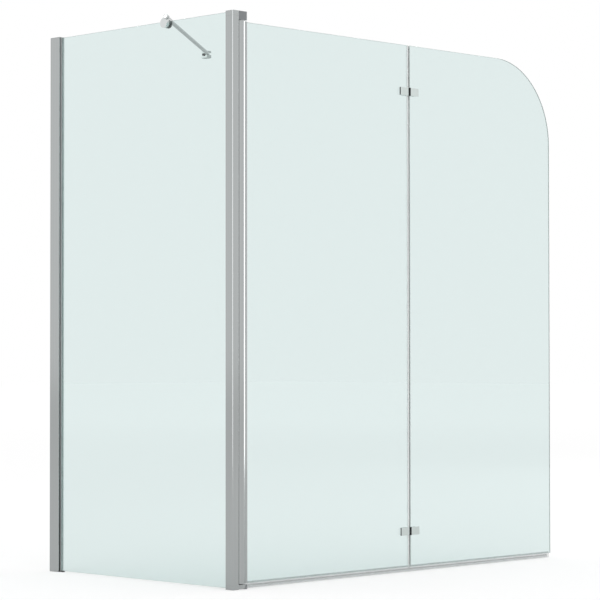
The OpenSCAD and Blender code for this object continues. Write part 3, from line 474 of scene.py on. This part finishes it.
paintSpec = {
    "hair": 0.1 * mm,  # a plane this far inside a face takes in the whole face
    "rim": 0.5,  # cosine: a face that looks less than this along the axis is part of the rim
    "flat": 0.8,  # cosine: a face that looks more than this along the axis is flat on it
    "side": 0.9,  # cosine: a face of the plug that looks less than this along the bar is part of its side
    "knuckle": 2.6 * mm,  # reach of the hinges' knuckles round the fold's axis
}
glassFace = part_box("inner_glass")[1].y - paintSpec["hair"]
for node in ("inner_seam_seal", "outer_seam_seal"):
    repaint(eased[node], lambda middle, facing: abs(middle.y) > glassFace, clearCheek)

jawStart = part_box("clamp_inner_pad")[1].x + paintSpec["hair"] / 2
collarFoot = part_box("bar_end_plug")[0].z
# painted shade on the rim of the clamp's inner jaw, below the collar
repaint(eased["bar_clamp"], lambda middle, facing: middle.x > jawStart and middle.z < collarFoot
        and abs(facing.x) < paintSpec["rim"], jawRimPaintedShade)
# painted shade on the clamp's collar, above the plug's foot
repaint(eased["bar_clamp"], lambda middle, facing: middle.z > collarFoot, collarPaintedShade)
# painted shade on the rim of the inner pad too
repaint(eased["clamp_inner_pad"], lambda middle, facing: abs(facing.x) < paintSpec["rim"], jawRimPaintedShade)
barWay = (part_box("bar_wall_bracket")[0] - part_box("bar_clamp")[0]).xy.normalized()  # the bar's heading
# painted shade: the plug's sides get the tube's darker steel round its bright face
repaint(eased["bar_end_plug"], lambda middle, facing: abs(facing.xy @ barWay) < paintSpec["side"], barSteelAndPlugShade)
# painted light: the bracket's flank that faces -X is made almost white
repaint(eased["bar_wall_bracket"], lambda middle, facing: facing.x < -paintSpec["flat"], flankPaintedLight)
# painted light on the downward faces of the top pivot block
repaint(eased["top_pivot_block"], lambda middle, facing: facing.z < -paintSpec["flat"], undersidePaintedLight)

# painted shade: near-black on the hinges' knuckles and on each plate's end that looks at the post
foldAxis = Vector(next(joint for joint in frame["joints"] if joint["name"] == "leaf_fold")["pos_m"])
for node in easing:
    if node.startswith(("upper_hinge", "lower_hinge")):
        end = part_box(node)[0].x + paintSpec["hair"]  # the end that looks at the post is as dark as a knuckle
        repaint(eased[node], lambda middle, facing: middle.x < end
                or (middle - foldAxis).xy.length < paintSpec["knuckle"], knucklePaintedShade)
print("eased pieces:", len(easing))


def treeInputs(tree, inputs):  # adds named inputs and returns the group input's sockets
    for name, kind, value in inputs:
        socket = tree.interface.new_socket(name, in_out="INPUT", socket_type="NodeSocket" + kind)
        if value is not None:
            socket.default_value = value
    tree.interface.new_socket("Geometry", in_out="OUTPUT", socket_type="NodeSocketGeometry")
    return addNode(tree, "NodeGroupInput").outputs


def grow(tree, values, seed=None):  # runs a tree on a seed mesh or an empty one, and returns a plain mesh
    rough = bpy.data.objects.new("rough", seed or bpy.data.meshes.new("rough"))
    bpy.context.collection.objects.link(rough)
    modifier = rough.modifiers.new("grow", "NODES")
    modifier.node_group = tree
    sockets = {item.name: item.identifier for item in tree.interface.items_tree if item.in_out == "INPUT"}
    for name, value in values.items():
        modifier[sockets[name]] = value
    mesh = plainMesh(rough)
    for index in reversed(range(len(mesh.materials))):  # the tree leaves empty slots behind
        if mesh.materials[index] is None:
            mesh.materials.pop(index=index)
    return mesh


def outwards(mesh):  # every closed shell faces out
    shape = bmesh.new()
    shape.from_mesh(mesh)
    bmesh.ops.recalc_face_normals(shape, faces=shape.faces)
    shape.to_mesh(mesh)
    shape.free()


# Panes: one tree draws the outline, rounds its corners, cuts the holes and grinds the edges.
paneSpec = {
    "arris": 0.6 * mm,  # ground corner along each edge
    "corner": 1.5 * mm,  # dubbed corner of the outline
    "free": 220 * mm,  # rounded top corner of the folding leaf
    "skin": 0.03 * mm,  # air between the glass and what grips it
    "holes": 2,
    "holeSides": 48,
    "steps": 120.0,  # segments of a corner for each square root of a metre of its radius
    "weld": 0.01 * mm,
    "edge": 0.9,  # cosine: a face that looks less than this through the thickness belongs to the edge
    "end": 0.05,  # cosine: the free end's faces look more than this along the leaf
}


def polishedPane():
    tree = bpy.data.node_groups.new("polishedPane", "GeometryNodeTree")
    given = treeInputs(tree, [
        ("Geometry", "Geometry", None), ("Length", "Float", 0.5), ("Height", "Float", 1.3),
        ("Thickness", "Float", 0.005), ("Arris", "Float", 0.0005), ("Corner", "Float", 0.0015),
        ("Free corner", "Float", 0.0015), ("Hole radius", "Float", 0.006), ("Holes", "Int", 0),
        ("First hole", "Vector", (0.03, 0.1, 0.0)), ("Hole step", "Float", 1.0),
        ("Face", "Material", None), ("Edge", "Material", None)])
    size = addNode(tree, "ShaderNodeCombineXYZ", None, {0: given["Length"], 1: given["Height"]})
    middle = addNode(tree, "ShaderNodeVectorMath", {"operation": "SCALE"}, {0: size, "Scale": 0.5})
    outline = addNode(tree, "GeometryNodeCurvePrimitiveQuadrilateral", {"mode": "RECTANGLE"}, {
        "Width": given["Length"], "Height": given["Height"]})
    outline = addNode(tree, "GeometryNodeTransform", None, {"Geometry": outline, "Translation": middle})
    spot = addNode(tree, "GeometryNodeInputPosition")
    spot = addNode(tree, "ShaderNodeVectorMath", {"operation": "SUBTRACT"}, {0: spot, 1: middle})
    spot = addNode(tree, "ShaderNodeSeparateXYZ", None, {0: spot})
    greater = {"data_type": "FLOAT", "operation": "GREATER_THAN"}
    beyond = addNode(tree, "FunctionNodeCompare", greater, {0: spot.outputs["X"]})
    above = addNode(tree, "FunctionNodeCompare", greater, {0: spot.outputs["Y"]})
    isFree = addNode(tree, "FunctionNodeBooleanMath", {"operation": "AND"}, {0: beyond, 1: above})
    radius = addNode(tree, "GeometryNodeSwitch", {"input_type": "FLOAT"}, {
        "Switch": isFree, "False": given["Corner"], "True": given["Free corner"]})
    steps = addNode(tree, "ShaderNodeMath", {"operation": "SQRT"}, {0: radius})
    steps = addNode(tree, "ShaderNodeMath", {"operation": "MULTIPLY_ADD"}, {
        0: steps, 1: paneSpec["steps"], 2: 1.0})
    outline = addNode(tree, "GeometryNodeFilletCurve", {"mode": "POLY"}, {
        "Curve": outline, "Radius": radius, "Count": steps})
    bore = addNode(tree, "GeometryNodeCurvePrimitiveCircle", {"mode": "RADIUS"}, {
        "Resolution": paneSpec["holeSides"], "Radius": given["Hole radius"]})
    bore = addNode(tree, "GeometryNodeReverseCurve", None, {"Curve": bore.outputs["Curve"]})
    step = addNode(tree, "ShaderNodeCombineXYZ", None, {1: given["Hole step"]})
    row = addNode(tree, "GeometryNodeMeshLine", {"mode": "OFFSET"}, {
        "Count": given["Holes"], "Start Location": given["First hole"], "Offset": step})
    bores = addNode(tree, "GeometryNodeInstanceOnPoints", None, {"Points": row, "Instance": bore})
    bores = addNode(tree, "GeometryNodeRealizeInstances", None, {"Geometry": bores})
    edges = addNode(tree, "GeometryNodeJoinGeometry")
    for part in (outline, bores):
        tree.links.new(part.outputs[0], edges.inputs[0])
    edges = addNode(tree, "GeometryNodeSetCurveNormal", {"mode": "Z_UP"}, {"Curve": edges})
    half = addNode(tree, "ShaderNodeMath", {"operation": "MULTIPLY"}, {0: given["Thickness"], 1: 0.5})
    flat = addNode(tree, "ShaderNodeMath", {"operation": "SUBTRACT"}, {0: half, 1: given["Arris"]})
    edgePoints = 4  # the ground edge's profile: a flat between two arrises
    ground = addNode(tree, "GeometryNodeCurvePrimitiveLine")
    ground = addNode(tree, "GeometryNodeResampleCurve", None, {"Curve": ground, "Count": edgePoints})
    number = addNode(tree, "GeometryNodeInputIndex")
    rise = addNode(tree, "ShaderNodeMapRange", None, {
        "Value": number, "From Min": 0.0, "From Max": edgePoints - 1.0, "To Min": -1.0, "To Max": 1.0})
    outer = addNode(tree, "ShaderNodeMath", {"operation": "ABSOLUTE"}, {0: rise})
    outer = addNode(tree, "ShaderNodeMath", {"operation": "GREATER_THAN"}, {
        0: outer, 1: 1 - 1 / edgePoints})
    sign = addNode(tree, "ShaderNodeMath", {"operation": "SIGN"}, {0: rise})
    reach = addNode(tree, "ShaderNodeMix", {"data_type": "FLOAT"}, {0: outer, 2: flat, 3: half})
    across = addNode(tree, "ShaderNodeMath", {"operation": "MULTIPLY"}, {0: reach, 1: sign})
    inset = addNode(tree, "ShaderNodeMath", {"operation": "MULTIPLY"}, {0: outer, 1: given["Arris"]})
    inset = addNode(tree, "ShaderNodeMath", {"operation": "MULTIPLY"}, {0: inset, 1: -1.0})
    corner = addNode(tree, "ShaderNodeCombineXYZ", None, {0: inset, 1: across})
    ground = addNode(tree, "GeometryNodeSetPosition", None, {"Geometry": ground, "Position": corner})
    band = addNode(tree, "GeometryNodeCurveToMesh", None, {"Curve": edges, "Profile Curve": ground})
    band = addNode(tree, "GeometryNodeSetShadeSmooth", None, {"Geometry": band, "Shade Smooth": False})
    beside = addNode(tree, "GeometryNodeInputMeshEdgeNeighbors")
    single = addNode(tree, "FunctionNodeCompare", {"data_type": "INT", "operation": "EQUAL"}, {
        2: beside, 3: 1})
    depth = addNode(tree, "GeometryNodeInputPosition")
    depth = addNode(tree, "ShaderNodeSeparateXYZ", None, {0: depth})
    front = addNode(tree, "FunctionNodeCompare", greater, {0: depth.outputs["Z"]})
    rim = addNode(tree, "FunctionNodeBooleanMath", {"operation": "AND"}, {0: single, 1: front})
    loops = addNode(tree, "GeometryNodeMeshToCurve", None, {"Mesh": band, "Selection": rim})
    face = addNode(tree, "GeometryNodeFillCurve", None, {"Curve": loops})
    lift = addNode(tree, "ShaderNodeCombineXYZ", None, {2: half})
    sink = addNode(tree, "ShaderNodeVectorMath", {"operation": "SCALE"}, {0: lift, "Scale": -1.0})
    top = addNode(tree, "GeometryNodeTransform", None, {"Geometry": face, "Translation": lift})
    bottom = addNode(tree, "GeometryNodeTransform", None, {"Geometry": face, "Translation": sink})
    bottom = addNode(tree, "GeometryNodeFlipFaces", None, {"Mesh": bottom})
    faces = addNode(tree, "GeometryNodeJoinGeometry")
    for part in (top, bottom):
        tree.links.new(part.outputs[0], faces.inputs[0])
    whole = addNode(tree, "GeometryNodeJoinGeometry")
    for part in (faces, band):
        tree.links.new(part.outputs[0], whole.inputs[0])
    whole = addNode(tree, "GeometryNodeMergeByDistance", None, {
        "Geometry": whole, "Distance": paneSpec["weld"]})
    facing = addNode(tree, "GeometryNodeInputNormal")
    facing = addNode(tree, "ShaderNodeSeparateXYZ", None, {0: facing})
    facing = addNode(tree, "ShaderNodeMath", {"operation": "ABSOLUTE"}, {0: facing.outputs["Z"]})
    isEdge = addNode(tree, "ShaderNodeMath", {"operation": "LESS_THAN"}, {0: facing, 1: paneSpec["edge"]})
    whole = addNode(tree, "GeometryNodeRealizeInstances", None, {"Geometry": whole})
    whole = addNode(tree, "GeometryNodeSetMaterial", None, {"Geometry": whole, "Material": given["Face"]})
    whole = addNode(tree, "GeometryNodeSetMaterial", None, {
        "Geometry": whole, "Selection": isEdge, "Material": given["Edge"]})
    addNode(tree, "NodeGroupOutput", None, {"Geometry": whole})
    return tree


paneTree = polishedPane()
upright = Matrix.Rotation(math.radians(90), 4, "X")  # from lying flat to standing along X


def addPane(node, freeCorner, screws, stand):
    low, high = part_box(node)
    size = high - low
    values = {
        "Length": max(size.x, size.y), "Height": size.z,
        "Thickness": min(size.x, size.y) - 2 * paneSpec["skin"], "Arris": paneSpec["arris"],
        "Corner": paneSpec["corner"], "Free corner": freeCorner,
        "Face": finish["glass"], "Edge": groundEdge,
    }
    if screws:  # each hole is where a screw's head is
        screwLow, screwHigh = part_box(screws)
        head = (screwHigh.x - screwLow.x) / 2
        values["Holes"] = paneSpec["holes"]
        values["First hole"] = (screwLow.x + head - low.x, screwLow.z + head - low.z, 0)
        values["Hole step"] = screwHigh.z - screwLow.z - 2 * head
    mesh = grow(paneTree, values)
    outwards(mesh)
    mesh.transform(stand @ upright)
    middle = (low + high) / 2
    start = (low.x, middle.y, low.z) if size.x > size.y else (middle.x, low.y, low.z)
    mesh.transform(Matrix.Translation(start))
    return addPiece(node + ".pane", mesh, node)


alongLeaf = Matrix.Identity(4)
alongReturn = Matrix.Rotation(math.radians(90), 4, "Z")
for node, freeCorner, screws, stand in (
        ("side_glass", paneSpec["corner"], None, alongReturn),
        ("inner_glass", paneSpec["corner"], "inner_hinge_screws", alongLeaf),
        ("outer_glass", paneSpec["free"], "outer_hinge_screws", alongLeaf)):
    pane = addPane(node, freeCorner, screws, stand)
    print(pane.name, "faces:", len(pane.data.polygons))

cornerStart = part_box("outer_glass")[1].x - paneSpec["free"]
# painted shade on the faces of the outer pane's free end
repaint(pane, lambda middle, facing: middle.x > cornerStart and facing.x > paneSpec["end"]
        and abs(facing.y) < paneSpec["edge"], freeEdgePaintedShade)  # the last pane is the outer one


# Bottom seals: one tree rounds the corners of a section and extrudes it.
sealSpec = {  # mm from the middle of the glass's bottom edge
    "slot": 2.53,  # inner faces of the cheeks, just clear of the glass
    "web": 0.04,  # top of the web, just under the glass
    "cheek": 3.7,  # outer faces of the cheeks
    "lip": 4.1,  # outer face of the lip, on the side away from the bath
    "lipFoot": 2.5,
    "top": 4.5,
    "shoulder": 1.7,  # underside of the web
    "skirt": 3.2,  # outer faces of the skirt
    "foot": 11.5,
    "fin": ((5.8, -7.6), (6.3, -7.0)),  # tip of the drip fin, on the bath's side
    "finFoot": 3.6,
    "finTop": 2.0,
    "hollow": 2.2,  # inner faces of the skirt
    "hollowTop": 1.9,
    "hollowFoot": 10.5,
    "rounding": 0.25,
}
fineWeld = 0.005 * mm  # points of the seals and screws closer than this are one


def sealSection(s):  # the closed outline, then the hollow of the skirt
    outline = [
        (-s["lip"], s["top"]), (-s["lip"], s["lipFoot"]), (-s["cheek"], s["lipFoot"]),
        (-s["cheek"], -s["shoulder"]), (-s["skirt"], -s["shoulder"]), (-s["skirt"], -s["foot"]),
        (s["skirt"], -s["foot"]), (s["skirt"], -s["finFoot"]), *s["fin"], (s["cheek"], -s["finTop"]),
        (s["cheek"], s["top"]), (s["slot"], s["top"]), (s["slot"], -s["web"]), (-s["slot"], -s["web"]),
        (-s["slot"], s["top"]),
    ]
    hollow = [(-s["hollow"], -s["hollowFoot"]), (-s["hollow"], -s["hollowTop"]),
              (s["hollow"], -s["hollowTop"]), (s["hollow"], -s["hollowFoot"])]
    return outline, hollow


def extrudedSection():
    tree = bpy.data.node_groups.new("extrudedSection", "GeometryNodeTree")
    given = treeInputs(tree, [("Geometry", "Geometry", None), ("Length", "Float", 0.5),
                              ("Rounding", "Float", 0.0003), ("Finish", "Material", None)])
    section = addNode(tree, "GeometryNodeMeshToCurve", None, {"Mesh": given["Geometry"]})
    section = addNode(tree, "GeometryNodeFilletCurve", {"mode": "POLY"}, {
        "Curve": section, "Radius": given["Rounding"], "Count": 2, "Limit Radius": True})
    face = addNode(tree, "GeometryNodeFillCurve", None, {"Curve": section})
    travel = addNode(tree, "ShaderNodeCombineXYZ", None, {2: given["Length"]})
    body = addNode(tree, "GeometryNodeExtrudeMesh", {"mode": "FACES"}, {
        "Mesh": face, "Offset": travel, "Offset Scale": 1.0, "Individual": False})
    base = addNode(tree, "GeometryNodeFlipFaces", None, {"Mesh": face})
    whole = addNode(tree, "GeometryNodeJoinGeometry")
    for part in (body, base):
        tree.links.new(part.outputs[0], whole.inputs[0])
    whole = addNode(tree, "GeometryNodeMergeByDistance", None, {"Geometry": whole, "Distance": fineWeld})
    whole = addNode(tree, "GeometryNodeRealizeInstances", None, {"Geometry": whole})
    whole = addNode(tree, "GeometryNodeSetMaterial", None, {"Geometry": whole, "Material": given["Finish"]})
    addNode(tree, "NodeGroupOutput", None, {"Geometry": whole})
    return tree


sectionTree = extrudedSection()


def addSeal(node, pane):
    low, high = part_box(node)
    glassLow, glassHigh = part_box(pane)
    points, sides = [], []
    for loop in sealSection(sealSpec):
        first = len(points)
        points += [(y * mm, z * mm, 0) for y, z in loop]
        sides += [(first + i, first + (i + 1) % len(loop)) for i in range(len(loop))]
    seed = bpy.data.meshes.new("section")
    seed.from_pydata(points, sides, [])
    values = {"Length": high.x - low.x, "Rounding": sealSpec["rounding"] * mm, "Finish": finish["clear_pvc"]}
    mesh = grow(sectionTree, values, seed)
    outwards(mesh)
    glassMiddle = (glassLow.y + glassHigh.y) / 2
    mesh.transform(Matrix((  # section to Y and Z, length to X
        (0, 0, 1, low.x),
        (1, 0, 0, glassMiddle),
        (0, 1, 0, glassLow.z),
        (0, 0, 0, 1))))
    return addPiece(node + ".seal", mesh, node)


for node, pane in (("inner_bottom_seal", "inner_glass"), ("outer_bottom_seal", "outer_glass")):
    seal = addSeal(node, pane)
    print(seal.name, "faces:", len(seal.data.polygons))


# Screws and covers: one tree turns a half section round its axis, presses the hexagon and sets out the row.
alongX = Matrix.Rotation(math.radians(90), 4, "Y")  # turns the axis from Z to X
alongY = Matrix.Rotation(math.radians(-90), 4, "X")  # turns the axis from Z to Y
hingeScrew = {  # radii and heights in mm
    "axis": alongY, "row": 2, "shank": 2.0, "head": 3.9, "headHeight": 1.9, "cone": True, "socket": 1.3,
}
turnedSpec = {
    "inner_hinge_screws": hingeScrew,
    "outer_hinge_screws": hingeScrew,
    "lock_screws": {"axis": alongX, "row": 3, "shank": 2.0, "head": 3.6, "headHeight": 2.4, "cone": False},
    "lock_screw_covers": {
        "axis": alongX, "row": 3, "outer": 5.5, "recess": 3.7, "deep": 2.5, "chamfer": 1.0},
}
lathe = {
    "core": 0.1 * mm,  # radius of the circle that the section is swept round
    "rounding": 0.1 * mm,
    "socketDepth": 1.4 * mm,
    "punch": 4 * mm,  # length of the punch, more than the socket's depth
    "smooth": 40,  # degrees: edges sharper than this stay hard in the shading
}


def turnedRow():
    tree = bpy.data.node_groups.new("turnedRow", "GeometryNodeTree")
    given = treeInputs(tree, [
        ("Geometry", "Geometry", None), ("Core", "Float", 0.0001), ("Rounding", "Float", 0.0002),
        ("Sides", "Int", 40), ("Socket", "Bool", False), ("Socket radius", "Float", 0.0013),
        ("Socket floor", "Float", 0.001), ("Row", "Int", 2), ("Step", "Vector", (0.0, 0.0, 1.0)),
        ("Finish", "Material", None)])
    section = addNode(tree, "GeometryNodeMeshToCurve", None, {"Mesh": given["Geometry"]})
    section = addNode(tree, "GeometryNodeFilletCurve", {"mode": "POLY"}, {
        "Curve": section, "Radius": given["Rounding"], "Count": 2, "Limit Radius": True})
    ring = addNode(tree, "GeometryNodeCurvePrimitiveCircle", {"mode": "RADIUS"}, {
        "Resolution": given["Sides"], "Radius": given["Core"]})
    ring = addNode(tree, "GeometryNodeSetCurveNormal", {"mode": "Z_UP"}, {"Curve": ring.outputs["Curve"]})
    turned = addNode(tree, "GeometryNodeCurveToMesh", None, {"Curve": ring, "Profile Curve": section})
    turned = addNode(tree, "GeometryNodeMergeByDistance", None, {"Geometry": turned, "Distance": fineWeld})
    punch = addNode(tree, "GeometryNodeMeshCylinder", None, {
        "Vertices": 6, "Radius": given["Socket radius"], "Depth": lathe["punch"]})
    lift = addNode(tree, "ShaderNodeMath", {"operation": "ADD"}, {
        0: given["Socket floor"], 1: lathe["punch"] / 2})
    lift = addNode(tree, "ShaderNodeCombineXYZ", None, {2: lift})
    punch = addNode(tree, "GeometryNodeTransform", None, {"Geometry": punch, "Translation": lift})
    pressed = addNode(tree, "GeometryNodeMeshBoolean", {"operation": "DIFFERENCE", "solver": "EXACT"}, {
        "Mesh 1": turned, "Mesh 2": punch})
    turned = addNode(tree, "GeometryNodeSwitch", {"input_type": "GEOMETRY"}, {
        "Switch": given["Socket"], "False": turned, "True": pressed.outputs["Mesh"]})
    row = addNode(tree, "GeometryNodeMeshLine", {"mode": "OFFSET"}, {
        "Count": given["Row"], "Offset": given["Step"]})
    row = addNode(tree, "GeometryNodeInstanceOnPoints", None, {"Points": row, "Instance": turned})
    row = addNode(tree, "GeometryNodeRealizeInstances", None, {"Geometry": row})
    row = addNode(tree, "GeometryNodeSetMaterial", None, {"Geometry": row, "Material": given["Finish"]})
    addNode(tree, "NodeGroupOutput", None, {"Geometry": row})
    return tree


turnedTree = turnedRow()


def halfSection(spec, length):  # radii and heights in mm, from the axis at one end to the axis at the other
    if "outer" in spec:
        return [(0, spec["deep"]), (spec["recess"], spec["deep"]), (spec["recess"], 0), (spec["outer"], 0),
                (spec["outer"], length - spec["chamfer"]), (spec["outer"] - spec["chamfer"], length),
                (0, length)]
    neck = length - spec["headHeight"]
    points = [(0, 0), (spec["shank"], 0), (spec["shank"], neck)]
    if not spec["cone"]:
        points.append((spec["head"], neck))
    return points + [(spec["head"], length), (0, length)]


def addTurned(node, spec):
    low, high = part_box(node)
    axis = spec["axis"] @ Vector((0, 0, 1))
    radius = spec.get("head", spec.get("outer")) * mm
    length = axis @ (high - low)
    points = [(r * mm - lathe["core"], -h * mm, 0)  # the sweep turns the section over
              for r, h in halfSection(spec, length / mm)]
    seed = bpy.data.meshes.new("section")
    seed.from_pydata(points, [(i, i + 1) for i in range(len(points) - 1)], [])
    step = Vector((0, 0, (high.z - low.z - 2 * radius) / (spec["row"] - 1)))
    values = {"Core": lathe["core"], "Rounding": lathe["rounding"], "Row": spec["row"],
              "Step": spec["axis"].inverted() @ step, "Finish": finish[slotOf(node)]}
    if "socket" in spec:
        values["Socket"] = True
        values["Socket radius"] = spec["socket"] * mm
        values["Socket floor"] = length - lathe["socketDepth"]
    mesh = grow(turnedTree, values, seed)
    outwards(mesh)
    mesh.shade_smooth()
    mesh.set_sharp_from_angle(angle=math.radians(lathe["smooth"]))
    start = (low + high) / 2
    start.z = low.z + radius
    start -= axis * (length / 2)
    mesh.transform(Matrix.Translation(start) @ spec["axis"])
    return addPiece(node + ".turned", mesh, node)


for node, spec in turnedSpec.items():
    row = addTurned(node, spec)
    print(row.name, "faces:", len(row.data.polygons))

for node, piece in frame["nodes"].items():  # what no finished piece stands for keeps the CAD's shape
    for place in piece.material_slots:
        place.material = finish[slotOf(node)]
print("CAD pieces given their finish:", len(frame["nodes"]))

bpy.context.view_layer.update()
